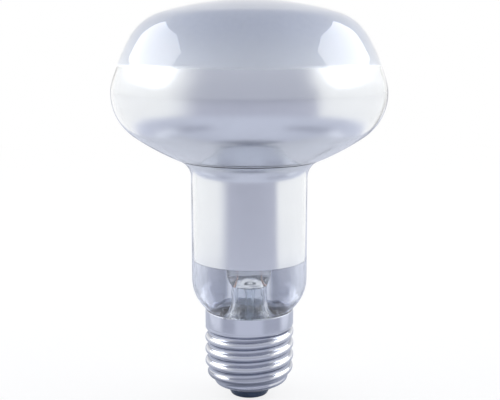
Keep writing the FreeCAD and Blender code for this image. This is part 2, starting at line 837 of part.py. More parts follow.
def bent_wire(name, radius, start, end, heights):
    """A wire that runs upright, crosses over in a slant or level, and runs upright again.

    start and end are its places in plan. heights are those of its start, of the two bends and of
    its end. It is drawn in the upright plane that holds both places.
    """
    step = (end[0] - start[0], end[1] - start[1])
    width = math.hypot(*step)
    corners = [(0.0, heights[0]), (0.0, heights[1]), (width, heights[2]), (width, heights[3])]
    body = new_body(name)
    path = new_sketch(body, "path", "XZ_Plane")
    outline = Outline(path)
    bend = radius * BEND_RATIO
    place = corners[0]
    for before, corner, after in zip(corners, corners[1:], corners[2:]):
        arriving = line_up(before, corner)
        leaving = line_up(corner, after)
        turn = (leaving - arriving + 180) % 360 - 180
        setback = bend.value * math.tan(math.radians(abs(turn)) / 2)
        side = math.copysign(90, turn)
        bend_start = polar(corner, -setback, arriving)
        centre = polar(bend_start, bend.value, arriving + side)
        outline.line(place, bend_start, smooth=bool(outline.ends))
        outline.arc(centre, bend, arriving - side, arriving - side + turn, smooth=True)
        place = polar(corner, setback, leaving)
    outline.line(place, corners[-1], smooth=True)
    profile = circle_sketch(body, "round", "XY_Plane", radius, (ZERO, ZERO), as_size(heights[0]))
    pipe(body, profile, path)
    turn = Rotation(Vector(0, 0, 1), math.degrees(math.atan2(step[1], step[0])))
    body.Placement = Placement(Vector(*start, 0), turn)
    return body


def in_plan(across, forward, turn=0.0):
    """A place in plan, turned about the axis."""
    spot = Rotation(Vector(0, 0, 1), turn).multVec(Vector(across, forward, 0))
    return (spot.x, spot.y)


def make_inner_lead(name, side):
    """A stiff wire from the press out to the filament, with the clamp that grips its end."""
    middle = -SIZES["clamp_length"] / 2
    start = (side * SIZES["lead_spread"], 0.0)
    end = (side * SIZES["filament_sweep"], middle)
    foot = PRESS_TOP.value + SIZES["inner_lead_foot"]
    knee = FILAMENT_HEIGHT.value - SIZES["inner_lead_foot"]
    heights = [PRESS_TOP.value, foot, knee, FILAMENT_HEIGHT.value]
    wire = bent_wire(f"{name}_wire", size("inner_lead_radius"), start, end, heights)
    clamp = doc.addObject("Part::Cylinder", f"{name}_clamp")
    bind(clamp, Radius=size("clamp_radius"), Height=size("clamp_length"))
    lying = Rotation(Vector(1, 0, 0), 90)
    clamp.Placement = Placement(Vector(end[0], 0, FILAMENT_HEIGHT.value), lying)
    bore = doc.addObject("Part::Cylinder", f"{name}_bore")
    bind(bore, Radius=size("filament_radius"), Height=size("clamp_length"))
    bore.Placement = clamp.Placement
    joined = doc.addObject("Part::Fuse", f"{name}_joined")
    joined.Base = wire
    joined.Tool = clamp
    lead = doc.addObject("Part::Cut", name)
    lead.Base = joined
    lead.Tool = bore
    lead.Placement = MOUNT
    return lead


def make_filament():
    """The coil as one rod: a half ring across the axis, with a straight leg in each clamp."""
    body = new_body("filament")
    sweep = size("filament_sweep")
    leg = size("clamp_length")
    path = new_sketch(body, "path", "XY_Plane", FILAMENT_HEIGHT)
    outline = Outline(path)
    outline.line((sweep.value, -leg.value), (sweep.value, 0.0))
    outline.at(sweep, -leg, "start")
    outline.arc((0.0, 0.0), sweep, 0, 180, smooth=True)
    outline.line((-sweep.value, 0.0), (-sweep.value, -leg.value), smooth=True)
    outline.hold("DistanceY", -leg, "end")
    place = (sweep, FILAMENT_HEIGHT)
    profile = circle_sketch(body, "round", "XZ_Plane", size("filament_radius"), place, leg)
    pipe(body, profile, path)
    body.Placement = MOUNT
    return body


def make_filament_hook(number):
    """A thin wire from the button to the filament, ending in an open ring round it."""
    body = new_body(f"filament_hook_{number + 1}")
    wire = size("hook_wire_radius")
    ring = HOOK_RING
    centre = (SIZES["filament_sweep"], FILAMENT_HEIGHT.value)
    start = (SIZES["button_radius"] - SIZES["hook_depth"], HOOK_HEIGHT.value)
    corner = (SIZES["button_radius"] + SIZES["hook_depth"], HOOK_HEIGHT.value)
    bend = wire * BEND_RATIO
    gap = math.dist(corner, centre)
    slant = line_up(corner, centre) - math.degrees(math.asin(ring.value / gap))
    setback = bend.value * math.tan(math.radians(slant) / 2)
    bend_centre = (corner[0] - setback, corner[1] + bend.value)

    path = new_sketch(body, "path", "XZ_Plane")
    outline = Outline(path)
    outline.line(start, (corner[0] - setback, corner[1]))
    outline.at(size("button_radius") - size("hook_depth"), HOOK_HEIGHT, "start")
    outline.arc(bend_centre, bend, -90, slant - 90, smooth=True)
    outline.line(polar(corner, setback, slant), polar(centre, ring.value, slant - 90), smooth=True)
    outline.arc(centre, ring, slant - 90, slant + 270 - HOOK_OPENING, smooth=True)
    lift = size("button_radius") - size("hook_depth")
    profile = circle_sketch(body, "round", "YZ_Plane", wire, (ZERO, HOOK_HEIGHT), lift)
    pipe(body, profile, path)
    direction = hook_direction(number) + SIZES["mount_turn"]
    body.Placement = Placement(Vector(), Rotation(Vector(0, 0, 1), direction))
    return body


def make_side_lead():
    """The wire from the press down the stem, under the seal and up to the rim of the cap."""
    radius = size("outer_lead_radius")
    start = in_plan(-SIZES["lead_spread"], 0.0, SIZES["mount_turn"])
    end = in_plan(lead_lane(), 0.0, SIZES["weld_side"])
    low = SEAL_BOTTOM.value - SIZES["side_lead_dip"]
    heights = [SIZES["stem_top"], low, low, SIZES["cap_height"]]
    return bent_wire("side_lead", radius, start, end, heights)


def lead_lane():
    """Distance from the axis of the side lead, half way between the collar and the glass."""
    return (COLLAR_BORE.value + MOUTH_RADIUS.value) / 2


def make_contact_lead():
    """The straight wire from the press into the fuse sleeve."""
    wire = doc.addObject("Part::Cylinder", "contact_lead")
    length = size("stem_top") - size("sleeve_top") + size("sleeve_overlap")
    bind(wire, Radius=size("outer_lead_radius"), Height=length)
    at = in_plan(SIZES["lead_spread"], 0.0, SIZES["mount_turn"])
    wire.Placement = Placement(Vector(*at, SIZES["stem_top"] - length.value), Rotation())
    return wire


def make_fuse_sleeve():
    """The small glass tube that holds the fuse."""
    bottom = size("sleeve_top") - size("sleeve_length")
    bore = size("outer_lead_radius")
    outer = size("sleeve_radius")
    top = size("sleeve_top")
    sleeve = turned("fuse_sleeve", [(bore, bottom), (outer, bottom), (outer, top), (bore, top)])
    at = in_plan(SIZES["lead_spread"], 0.0, SIZES["mount_turn"])
    sleeve.Placement = Placement(Vector(*at, 0), Rotation())
    return sleeve


def make_fuse_wire():
    """The thin wire from the end of the lead, out of the sleeve and into the centre contact."""
    start = in_plan(0.0, 0.0)
    end = in_plan(SIZES["lead_spread"], 0.0, SIZES["mount_turn"])
    bottom = SIZES["solder_height"] + SIZES["plate_thickness"]
    plate = bottom + SIZES["insulator_height"]
    top = SIZES["sleeve_top"] - SIZES["sleeve_overlap"]
    bend = SIZES["sleeve_top"] - SIZES["sleeve_length"] - SIZES["fuse_foot"]
    return bent_wire("fuse_wire", size("fuse_wire_radius"), start, end, [bottom, plate, bend, top])


def make_rim_bead():
    """The bead of metal that lies along the rim of the collar, where the side lead ends."""
    radius = size("weld_radius")
    half = size("weld_length") / 2
    tip = size("weld_tip_radius")
    shoulder = half - radius
    corners = [(ZERO, -half), (tip, -half), (radius, -shoulder)]
    corners += [(radius, shoulder), (tip, half), (ZERO, half)]
    bead = turned("bead", corners)
    at = in_plan((COLLAR_BORE.value + SIZES["collar_radius"]) / 2, 0.0, SIZES["weld_side"])
    turn = Rotation(Vector(0, 0, 1), SIZES["weld_side"]) * Rotation(Vector(1, 0, 0), 90)
    bead.Placement = Placement(Vector(*at, SIZES["cap_height"] - SIZES["weld_drop"]), turn)
    top = size("cap_height")
    bottom = top - size("collar_height")
    outer = size("collar_radius")
    corners = [(COLLAR_BORE, bottom), (outer, bottom), (outer, top), (COLLAR_BORE, top)]
    return cut_away("rim_bead", bead, turned("collar_room", corners))


def cut_away(name, base, tool):
    """A piece with the room that another one takes cut out of it."""
    piece = doc.addObject("Part::Cut", name)
    piece.Base = base
    piece.Tool = tool
    return piece


profile = BlownProfile()
side_lead = make_side_lead()
subparts = [
    make_glass_envelope(profile),
    make_mirror_coating(profile),
    make_stem_flare(),
    make_exhaust_tube(),
    make_support_rod(),
    make_seal_wire("seal_wire_left", -1),
    make_seal_wire("seal_wire_right", 1),
    make_inner_lead("inner_lead_left", -1),
    make_inner_lead("inner_lead_right", 1),
    make_filament(),
    side_lead,
    make_contact_lead(),
    make_fuse_sleeve(),
    make_fuse_wire(),
    make_cap_shell(),
    make_cap_insulator(),
    make_contact_plate(),
    make_contact_solder(),
    cut_away("cap_cement", make_cap_cement(), side_lead),
    cut_away("rim_weld", make_rim_bead(), side_lead),
]
subparts += [make_filament_hook(number) for number in range(HOOK_COUNT)]
doc.recompute()

for item in doc.Objects:
    failed = {"Invalid", "Error"} & set(item.State)
    if failed:
        raise RuntimeError(f"{item.Label}: {item.State}")
for piece in subparts:
    if piece.Shape.isNull() or not piece.Shape.isValid():
        raise RuntimeError(f"{piece.Label}: no valid shape")

os.makedirs("parts", exist_ok=True)
for piece in subparts:
    piece.Shape.exportStep(f"parts/{piece.Label}.step")
    box = piece.Shape.BoundBox
    print(f"{piece.Label:20} {piece.Shape.Volume:10.2f} mm3  z {box.ZMin:7.2f} to {box.ZMax:7.2f}")
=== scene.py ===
# %% [markdown]
# # Reflector bulb, dressed for the camera
#
# A reflector bulb is a blown glass lamp. A thin metal layer on the inside of its bowl and neck
# throws the light out through a frosted front. This lesson starts from a fixed model of the part,
# in metres, with the axis of the bulb along Z and the centre contact at the origin. It gives each
# piece the surface that the real one has. A piece whose plain solid is too coarse to look at, such
# as the rolled screw thread, is made again here at the same place and size.

# %% Load the fixed frame
import math

import bpy
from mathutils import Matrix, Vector


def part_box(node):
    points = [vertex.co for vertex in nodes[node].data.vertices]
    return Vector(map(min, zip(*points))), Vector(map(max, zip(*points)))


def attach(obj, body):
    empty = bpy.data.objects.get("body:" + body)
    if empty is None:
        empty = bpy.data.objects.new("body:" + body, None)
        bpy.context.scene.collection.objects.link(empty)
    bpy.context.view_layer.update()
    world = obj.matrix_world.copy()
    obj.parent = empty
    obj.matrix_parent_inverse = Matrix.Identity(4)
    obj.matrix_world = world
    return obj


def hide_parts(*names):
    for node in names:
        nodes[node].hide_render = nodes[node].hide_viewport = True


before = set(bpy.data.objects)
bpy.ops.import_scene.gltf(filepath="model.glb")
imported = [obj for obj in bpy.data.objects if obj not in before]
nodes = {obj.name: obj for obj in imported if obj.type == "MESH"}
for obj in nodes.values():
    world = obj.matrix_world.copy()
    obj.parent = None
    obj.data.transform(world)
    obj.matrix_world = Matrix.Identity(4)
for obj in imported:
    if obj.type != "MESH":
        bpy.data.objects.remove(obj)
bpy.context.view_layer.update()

MM = 0.001

# %% [markdown]
# ## The camera
#
# The camera comes first, because every choice after it is judged through it. It stands in front of
# the bulb, nearly as high as its top, and looks down by about eight degrees. Its lens is worked out
# for a frame of 500 by 400 pixels. A small shift of the lens lets the camera tilt less, so that
# upright lines lean less.

# %% Camera
IMAGE_WIDTH = 500
FOCAL_PIXELS = 880.2
SENSOR = 36.0
CAMERA_PLACE = (0.0002, -0.255, 0.10337)
CAMERA_TILT = 82.075  # degrees from looking straight down

lens = bpy.data.cameras.new("camera")
lens.sensor_width = SENSOR
lens.lens = FOCAL_PIXELS / IMAGE_WIDTH * SENSOR
lens.shift_y = -0.06
lens.clip_start = 0.01
camera = bpy.data.objects.new("camera", lens)
camera.location = CAMERA_PLACE
camera.rotation_euler = (math.radians(CAMERA_TILT), 0, 0)
bpy.context.scene.collection.objects.link(camera)
bpy.context.scene.camera = camera
print("lens", round(lens.lens, 1), "mm, looking down by", round(90 - CAMERA_TILT, 1), "degrees")

# %% [markdown]
# ## A helper for materials
#
# Nearly every finish here is one Principled shader with a few values and a pattern or two. The
# helper makes the material and sets the plain values on the shader's own sockets. The patterns are
# added afterwards, so that each one can be read by itself. All of them are placed by Object
# coordinates, which are metres in the frame of the part.

# %% Material helpers
def new_finish(name, **values):
    """A material of one Principled shader with some plain values."""
    finish = bpy.data.materials.new(name)
    finish.use_nodes = True
    shader = finish.node_tree.nodes["Principled BSDF"]
    for socket, value in values.items():
        shader.inputs[socket.replace("_", " ")].default_value = value
    return finish


def tree_of(finish):
    """The nodes, the links and the shader of a finish."""
    tree = finish.node_tree
    return tree.nodes, tree.links, tree.nodes["Principled BSDF"]


def place_on(finish):
    """The place of a point on the piece, in metres."""
    return tree_of(finish)[0].new("ShaderNodeTexCoord").outputs["Object"]


print("finish helpers ready")

# %% Patterns
def noise(finish, size, detail=3.0, stretch=(1, 1, 1)):
    """Soft random spots of about the given size in metres."""
    parts, links, _ = tree_of(finish)
    scaling = parts.new("ShaderNodeMapping")
    scaling.inputs["Scale"].default_value = stretch
    spots = parts.new("ShaderNodeTexNoise")
    spots.inputs["Scale"].default_value = 1.0 / size
    spots.inputs["Detail"].default_value = detail
    links.new(place_on(finish), scaling.inputs["Vector"])
    links.new(scaling.outputs["Vector"], spots.inputs["Vector"])
    return spots.outputs["Fac"]


def spread(finish, source, low, high, start, end):
    """Turn a pattern's numbers from start to end into numbers from low to high."""
    parts, links, _ = tree_of(finish)
    mapping = parts.new("ShaderNodeMapRange")
    mapping.inputs["From Min"].default_value = start
    mapping.inputs["From Max"].default_value = end
    mapping.inputs["To Min"].default_value = low
    mapping.inputs["To Max"].default_value = high
    links.new(source, mapping.inputs["Value"])
    return mapping.outputs["Result"]


def along(finish, axis, start, end, power=1.0, both_ways=False):
    """From 0 at one place on an axis to 1 at another, or the same to both sides of the middle."""
    parts, links, _ = tree_of(finish)
    split = parts.new("ShaderNodeSeparateXYZ")
    side = parts.new("ShaderNodeMath")
    side.operation = "ABSOLUTE" if both_ways else "ADD"
    side.inputs[1].default_value = 0.0
    curve = parts.new("ShaderNodeMath")
    curve.operation = "POWER"
    curve.inputs[1].default_value = power
    links.new(place_on(finish), split.inputs["Vector"])
    links.new(split.outputs[axis], side.inputs[0])
    links.new(spread(finish, side.outputs["Value"], 0.0, 1.0, start, end), curve.inputs[0])
    return curve.outputs["Value"]


def from_axis(finish, near, far):
    """From 0 at one distance from the upright axis to 1 at another."""
    parts, links, _ = tree_of(finish)
    flat = parts.new("ShaderNodeVectorMath")
    flat.operation = "MULTIPLY"
    flat.inputs[1].default_value = (1, 1, 0)
    length = parts.new("ShaderNodeVectorMath")
    length.operation = "LENGTH"
    links.new(place_on(finish), flat.inputs[0])
    links.new(flat.outputs["Vector"], length.inputs[0])
    return spread(finish, length.outputs["Value"], 0.0, 1.0, near, far)


print("patterns by place ready")

# %% What a pattern can change
def tint(finish, source, dark, light, start=0.3, end=0.7):
    """Colour a surface between two shades by a pattern."""
    parts, links, shader = tree_of(finish)
    ramp = parts.new("ShaderNodeValToRGB")
    ramp.color_ramp.elements[0].position = start
    ramp.color_ramp.elements[0].color = (*dark, 1)
    ramp.color_ramp.elements[1].position = end
    ramp.color_ramp.elements[1].color = (*light, 1)
    links.new(source, ramp.inputs["Fac"])
    links.new(ramp.outputs["Color"], shader.inputs["Base Color"])
    return ramp


def vary(finish, label, source, low, high, start=0.3, end=0.7):
    """Let a pattern set one of the shader's values, such as its roughness."""
    _, links, shader = tree_of(finish)
    links.new(spread(finish, source, low, high, start, end), shader.inputs[label])


def bump(finish, source, depth):
    """Let a pattern raise the surface by up to a depth in metres."""
    parts, links, shader = tree_of(finish)
    relief = parts.new("ShaderNodeBump")
    relief.inputs["Distance"].default_value = depth
    links.new(source, relief.inputs["Height"])
    links.new(relief.outputs["Normal"], shader.inputs["Normal"])


print("patterns can colour, roughen and raise")

# %% [markdown]
# ## Glass finishes
#
# The bulb is one piece of glass with three looks. Its outer face is fire polished all over: it is
# as smooth as the melt left it, with a very faint waviness from the blowing. At the front the
# inner face is etched with acid and looks like frost. The frost is painted darker towards the top of
# the dome and paler towards the mirror, a painted shade. Below the mirror a breath of the metal
# vapour left a grey haze on it. Two upright bands, one to each side of the stem, are painted darker
# in it across the X axis, a painted shade that stands for the dark bands that refraction makes in
# the clear foot. Three finishes on the faces of one mesh do all this, as the real glass does it. The
# stem is clear at its flare and milky at the top, where it was pressed flat while it was soft.

# %% Light through thin glass
SHADOW_TINT = (0.93, 0.95, 0.96, 1)


def let_lamps_through(finish):
    """Thin glass hardly holds light back, so lamps shine through it in straight lines."""
    parts, links, shader = tree_of(finish)
    out = parts["Material Output"]
    path = parts.new("ShaderNodeLightPath")
    clear = parts.new("ShaderNodeBsdfTransparent")
    clear.inputs["Color"].default_value = SHADOW_TINT
    mix = parts.new("ShaderNodeMixShader")
    links.new(path.outputs["Is Shadow Ray"], mix.inputs["Fac"])
    links.new(shader.outputs["BSDF"], mix.inputs[1])
    links.new(clear.outputs["BSDF"], mix.inputs[2])
    links.new(mix.outputs["Shader"], out.inputs["Surface"])


print("lamps pass glass, tinted", SHADOW_TINT[:3])

# %% Clear and frosted glass
clear_glass = new_finish("clear_glass", Base_Color=(0.97, 0.98, 0.985, 1), Roughness=0.0,
                         Transmission_Weight=1.0, IOR=1.65)
bump(clear_glass, noise(clear_glass, 0.009, detail=1.0, stretch=(1, 1, 0.5)), 0.00006)
let_lamps_through(clear_glass)

# Painted shade: the frost is coloured darker towards the top of the dome than by the mirror.
FROST_PAINTED_SHADE, FROST_PALE = (0.475, 0.515, 0.635), (0.96, 0.98, 1.0)
frosted_glass = new_finish("frosted_glass", Roughness=0.6, Transmission_Weight=0.8, IOR=1.45)
tint(frosted_glass, along(frosted_glass, "Z", 0.112, 0.0985, power=1.3), FROST_PAINTED_SHADE, FROST_PALE,
     0.0, 1.0)
vary(frosted_glass, "Roughness", noise(frosted_glass, 0.0015, detail=4.0), 0.5, 0.65)
let_lamps_through(frosted_glass)
print("frost from", FROST_PAINTED_SHADE, "at the front to", FROST_PALE, "by the mirror")

# %% Hazed glass and the glass of the stem
# Painted shade: two upright bands of the inner face below the mirror are coloured darker than the
# faint grey haze, placed across the X axis.
PAINTED_SHADE_BANDS = ((0.38, (0.40, 0.42, 0.49)), (0.62, (0.50, 0.52, 0.60)))  # places and shades

hazed_and_shaded_glass = new_finish("hazed_and_shaded_glass", Roughness=0.0, Transmission_Weight=1.0, IOR=1.5)
haze_and_shade_bands = tint(hazed_and_shaded_glass, along(hazed_and_shaded_glass, "X", 0.0, 0.017, both_ways=True), (0.84, 0.86, 0.91),
            (0.86, 0.88, 0.93), 0.31, 0.74)
for position, colour in PAINTED_SHADE_BANDS:
    haze_and_shade_bands.color_ramp.elements.new(position).color = (*colour, 1)
bump(hazed_and_shaded_glass, noise(hazed_and_shaded_glass, 0.006, detail=2.0, stretch=(1, 1, 0.4)), 0.0003)
let_lamps_through(hazed_and_shaded_glass)

stem_glass = new_finish("stem_glass", Base_Color=(0.93, 0.95, 0.97, 1), Roughness=0.02,
                        Transmission_Weight=1.0, IOR=1.5)
bump(stem_glass, noise(stem_glass, 0.003, detail=2.0, stretch=(1, 1, 0.15)), 0.0004)
down_stem = along(stem_glass, "Z", 0.041, 0.034)
vary(stem_glass, "Roughness", down_stem, 0.6, 0.02, 0.0, 1.0)
vary(stem_glass, "Transmission Weight", down_stem, 0.45, 0.97, 0.0, 1.0)
let_lamps_through(stem_glass)
print("haze in", len(haze_and_shade_bands.color_ramp.elements), "shades")

# %% [markdown]
# ## Metal finishes
#
# The mirror layer is aluminium that was evaporated onto the glass. It is bright but not quite
# sharp, because the layer grows a little rough. The cap is thin sheet with a nickel plating, which
# mirrors the room in its rolled thread. The plating is painted darker low in the hollows of the
# thread, a painted shade, and small scratches run round the cap. The wires are drawn, and the
# filament is bare tungsten.

# %% Finish of the mirror and of the cap
mirror_layer = new_finish("mirror_layer", Base_Color=(0.91, 0.915, 0.93, 1), Metallic=1.0,
                          Roughness=0.22)
vary(mirror_layer, "Roughness", noise(mirror_layer, 0.006, detail=5.0), 0.2, 0.26)

plated_cap = new_finish("plated_cap", Base_Color=(0.74, 0.77, 0.82, 1), Metallic=1.0,
                        Roughness=0.1)
# Painted shade: the cap is coloured by its distance from the axis, darkest low in the hollows of the
# thread.
painted_hollow_shade = tint(plated_cap, from_axis(plated_cap, 0.012, 0.0135), (0.30, 0.32, 0.39),
               (0.74, 0.755, 0.80), 0.17, 0.62)
painted_hollow_shade.color_ramp.elements.new(0.08).color = (0.66, 0.68, 0.74, 1)
vary(plated_cap, "Roughness", noise(plated_cap, 0.0006, detail=2.0, stretch=(0.2, 0.2, 4)), 0.05, 0.13)
bump(plated_cap, noise(plated_cap, 0.002, detail=3.0), 0.00002)

dull_inside = new_finish("dull_inside", Base_Color=(0.13, 0.135, 0.15, 1), Metallic=0.7,
                         Roughness=0.5)
tint(dull_inside, noise(dull_inside, 0.002, detail=4.0), (0.08, 0.085, 0.1), (0.2, 0.2, 0.21))

print("tarnish in", len(painted_hollow_shade.color_ramp.elements), "shades")

# %% Black glass, solder and cement
black_glass = new_finish("black_glass", Base_Color=(0.03, 0.04, 0.06, 1), Roughness=0.12,
                         Coat_Weight=0.3)
tint(black_glass, noise(black_glass, 0.002, detail=4.0), (0.042, 0.068, 0.11), (0.085, 0.12, 0.19))
bump(black_glass, noise(black_glass, 0.0012), 0.00004)

solder = new_finish("solder", Base_Color=(0.6, 0.62, 0.66, 1), Metallic=1.0, Roughness=0.35)
tint(solder, noise(solder, 0.001, detail=5.0), (0.45, 0.47, 0.5), (0.75, 0.76, 0.8))
vary(solder, "Roughness", noise(solder, 0.0007), 0.25, 0.5)
bump(solder, noise(solder, 0.0009, detail=2.0), 0.00008)

cement = new_finish("cement", Base_Color=(0.36, 0.32, 0.27, 1), Roughness=0.9)
tint(cement, noise(cement, 0.0007, detail=6.0), (0.2, 0.17, 0.14), (0.42, 0.38, 0.33))
bump(cement, noise(cement, 0.0005, detail=6.0), 0.00015)

print("black glass, solder and cement made")

# %% Wires
lead_wire = new_finish("lead_wire", Base_Color=(0.62, 0.62, 0.64, 1), Metallic=1.0, Roughness=0.3)
vary(lead_wire, "Roughness", noise(lead_wire, 0.0004), 0.22, 0.4)
copper_wire = new_finish("copper_wire", Base_Color=(0.7, 0.38, 0.25, 1), Metallic=1.0,
                         Roughness=0.35)
tint(copper_wire, noise(copper_wire, 0.001), (0.6, 0.3, 0.2), (0.78, 0.46, 0.32))
tungsten = new_finish("tungsten", Base_Color=(0.2, 0.2, 0.21, 1), Metallic=1.0, Roughness=0.45)
vary(tungsten, "Roughness", noise(tungsten, 0.0003), 0.35, 0.55)
print("wires of", lead_wire.name, copper_wire.name, tungsten.name)

# %% [markdown]
# ## The blown envelope
#
# A glass blower's mould is turned on a lathe, so its profile is a chain of arcs that run into each
# other without a corner. The same chain makes the mesh: each arc is a centre, a radius and the
# angles where it starts and ends. One function gives the points of the wall at any depth below the
# outer face. The inner wall, the mirror layer and the outer face then stay true to each other.

# %% Radii of the envelope, in millimetres
WALL = 0.8
NECK_RADIUS = 16.974
WAIST_CURVE = 5.865
BOWL_CURVE = 70.4
RIM_CURVE = 14.845
SIDE_CURVE = 59.87
SHOULDER_CURVE = 14.9
DOME_CURVE = 88.65
NECK_FOOT_CURVE = 12.0
FOOT_RADIUS = 12.5
SEAL_RADIUS = 11.8
BOWL_TURN, RIM_TURN = -55.0, 17.6  # degrees

CAP_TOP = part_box("cap_shell")[1].z / MM
SEAL_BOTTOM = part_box("glass_envelope")[0].z / MM
DOME_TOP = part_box("glass_envelope")[1].z / MM
HEAD_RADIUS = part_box("glass_envelope")[1].x / MM
DOME_RISE = 26.605
RIM_HEIGHT = DOME_TOP - DOME_RISE
WAIST_HEIGHT = CAP_TOP + 39.23

# %% Arcs that touch
def polar(centre, radius, angle):
    """The place at a distance from a centre, in a direction given in degrees."""
    turn = math.radians(angle)
    return (centre[0] + radius * math.cos(turn), centre[1] + radius * math.sin(turn))


def angle_to(first, second):
    """The direction from one place to another, in degrees."""
    return math.degrees(math.atan2(second[1] - first[1], second[0] - first[0]))


def touching(first, reach, second, second_reach):
    """The outer point at given distances from two centres."""
    gap = math.dist(first, second)
    along = (reach**2 - second_reach**2 + gap**2) / (2 * gap)
    aside = math.sqrt(reach**2 - along**2)
    ahead = ((second[0] - first[0]) / gap, (second[1] - first[1]) / gap)
    foot = (first[0] + ahead[0] * along, first[1] + ahead[1] * along)
    return max((foot[0] + s * ahead[1] * aside, foot[1] - s * ahead[0] * aside) for s in (1, -1))


rim = (HEAD_RADIUS - RIM_CURVE, RIM_HEIGHT)
bowl = polar(rim, RIM_CURVE - BOWL_CURVE, BOWL_TURN)
waist = (NECK_RADIUS + WAIST_CURVE, WAIST_HEIGHT)
side = polar(rim, RIM_CURVE - SIDE_CURVE, RIM_TURN)
dome = (0.0, DOME_TOP - DOME_CURVE)
shoulder = touching(side, SIDE_CURVE - SHOULDER_CURVE, dome, DOME_CURVE - SHOULDER_CURVE)
foot_turn = -math.degrees(math.acos(1 - (NECK_RADIUS - FOOT_RADIUS) / NECK_FOOT_CURVE))
foot_drop = NECK_FOOT_CURVE * math.sin(math.radians(foot_turn))
foot = (NECK_RADIUS - NECK_FOOT_CURVE, CAP_TOP - foot_drop)
fillet_curve = (FOOT_RADIUS - SEAL_RADIUS) / (1 - math.cos(math.radians(foot_turn)))
fillet = polar(foot, NECK_FOOT_CURVE + fillet_curve, foot_turn)

ARCS = {
    # name: centre, radius, start angle, end angle; the wall is hollow where the angle rises
    "dome": (dome, DOME_CURVE, 90.0, angle_to(dome, shoulder)),
    "shoulder": (shoulder, SHOULDER_CURVE, angle_to(dome, shoulder), angle_to(side, shoulder)),
    "side": (side, SIDE_CURVE, angle_to(side, shoulder), RIM_TURN),
    "rim": (rim, RIM_CURVE, RIM_TURN, BOWL_TURN),
    "bowl": (bowl, BOWL_CURVE, BOWL_TURN, angle_to(bowl, waist)),
    "waist": (waist, WAIST_CURVE, 180.0 + angle_to(bowl, waist), 180.0),
    "foot": (foot, NECK_FOOT_CURVE, 0.0, foot_turn),
    "fillet": (fillet, fillet_curve, 180.0 + foot_turn, 180.0),
}
for name, (centre, radius, _, _) in ARCS.items():
    print(f"{name:9} centre {centre[0]:7.2f} {centre[1]:7.2f} radius {radius:6.2f}")

# %% Wall of the envelope
ARC_STEP = 0.9  # mm between places at the most
ARC_TURN = 2.5  # degrees between places at the most
NECK_STEPS = 5
SAME_PLACE = 0.001  # mm between places that count as one


def wall_points(names, depth):
    """The wall's places, across and up, at a depth below the outer face."""
    places = []
    for name in names:
        centre, radius, start, end = ARCS[name]
        radius = radius + depth if end > start else radius - depth
        length = abs(math.radians(end - start)) * radius
        steps = math.ceil(max(length / ARC_STEP, abs(end - start) / ARC_TURN))
        for step in range(steps + 1):
            place = polar(centre, radius, start + (end - start) * step / steps)
            if not places or math.dist(places[-1], place) > SAME_PLACE:
                places.append(place)
        if name == "waist":
            neck = places[-1][0]
            fall = WAIST_HEIGHT - foot[1]
            places += [(neck, WAIST_HEIGHT - fall * n / NECK_STEPS) for n in range(1, NECK_STEPS)]
    return places


outer_wall = wall_points(ARCS, 0.0)
inner_wall = wall_points(ARCS, WALL)
print(len(outer_wall), "places down the outer wall, from", outer_wall[0], "to", outer_wall[-1])

# %% [markdown]
# Turning a profile about the axis is a lathe's work. Blender's Spin and Screw tools can do it, but
# both leave a seam and a pinched pole to clean up. Writing the rings directly closes them from the
# start: a place on the axis becomes one vertex, and the last column joins the first.

# %% A lathe
COLUMNS = 192
ON_AXIS = 1e-6  # mm from the axis at the most


def turn_on_lathe(name, places, finishes, finish_of):
    """A closed skin turned from places (across, up) in mm, ordered so that it faces outwards."""
    vertices, rings = [], []
    for across, up in places:
        count = 1 if across < ON_AXIS else COLUMNS
        rings.append(range(len(vertices), len(vertices) + count))
        for column in range(count):
            turn = 2 * math.pi * column / COLUMNS
            vertices.append((across * math.cos(turn) * MM, across * math.sin(turn) * MM, up * MM))
    faces, marks = [], []
    for step, (above, below) in enumerate(zip(rings, rings[1:])):
        for column in range(COLUMNS):
            following = (column + 1) % COLUMNS
            ring = [above[column % len(above)], below[column % len(below)],
                    below[following % len(below)], above[following % len(above)]]
            corners = list(dict.fromkeys(ring))
            if len(corners) > 2:
                faces.append(corners)
                marks.append(finish_of(step))
    skin = bpy.data.meshes.new(name)
    skin.from_pydata(vertices, [], faces)
    for finish in finishes:
        skin.materials.append(finish)
    skin.polygons.foreach_set("material_index", marks)
    skin.polygons.foreach_set("use_smooth", [True] * len(faces))
    skin.update()
    piece = bpy.data.objects.new(name, skin)
    bpy.context.scene.collection.objects.link(piece)
    return piece


def settle(piece, slot, *replaced):
    """Tie a finished piece to the lamp's one body, and hide the solids that it stands for."""
    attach(piece, "root")
    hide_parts(*replaced)
    print(piece.name, len(piece.data.polygons), "faces")


print("lathe of", COLUMNS, "columns")

# %% Glass bulb
MIRROR_TOP = RIM_HEIGHT + 8.2
MIRROR_BOTTOM = CAP_TOP + 15.2
BEHIND_MIRROR = 1.0  # mm that frost and haze reach behind the mirror layer

seal_end = [(SEAL_RADIUS, SEAL_BOTTOM), (SEAL_RADIUS - WALL, SEAL_BOTTOM)]
bulb_places = outer_wall + seal_end + inner_wall[::-1]
first_inner = len(outer_wall) + 1


def bulb_finish(step):
    """Frost inside above the mirror, haze inside below it, and clear glass everywhere else."""
    heights = bulb_places[step][1], bulb_places[step + 1][1]
    if step <= first_inner:
        return 0
    if min(heights) > MIRROR_TOP - BEHIND_MIRROR:
        return 1
    return 2 if max(heights) < MIRROR_BOTTOM + BEHIND_MIRROR else 0


glass_bulb = turn_on_lathe("glass_bulb", bulb_places, [clear_glass, frosted_glass, hazed_and_shaded_glass],
                           bulb_finish)
settle(glass_bulb, "clear_glass", "glass_envelope")

# %% [markdown]
# ## The mirror layer
#
# The layer lies on the inner wall, between two sharp edges where the spray was masked. It is made
# as a skin of its own, a hair's breadth inside the glass, so that the two never share a face and
# the render stays clean.

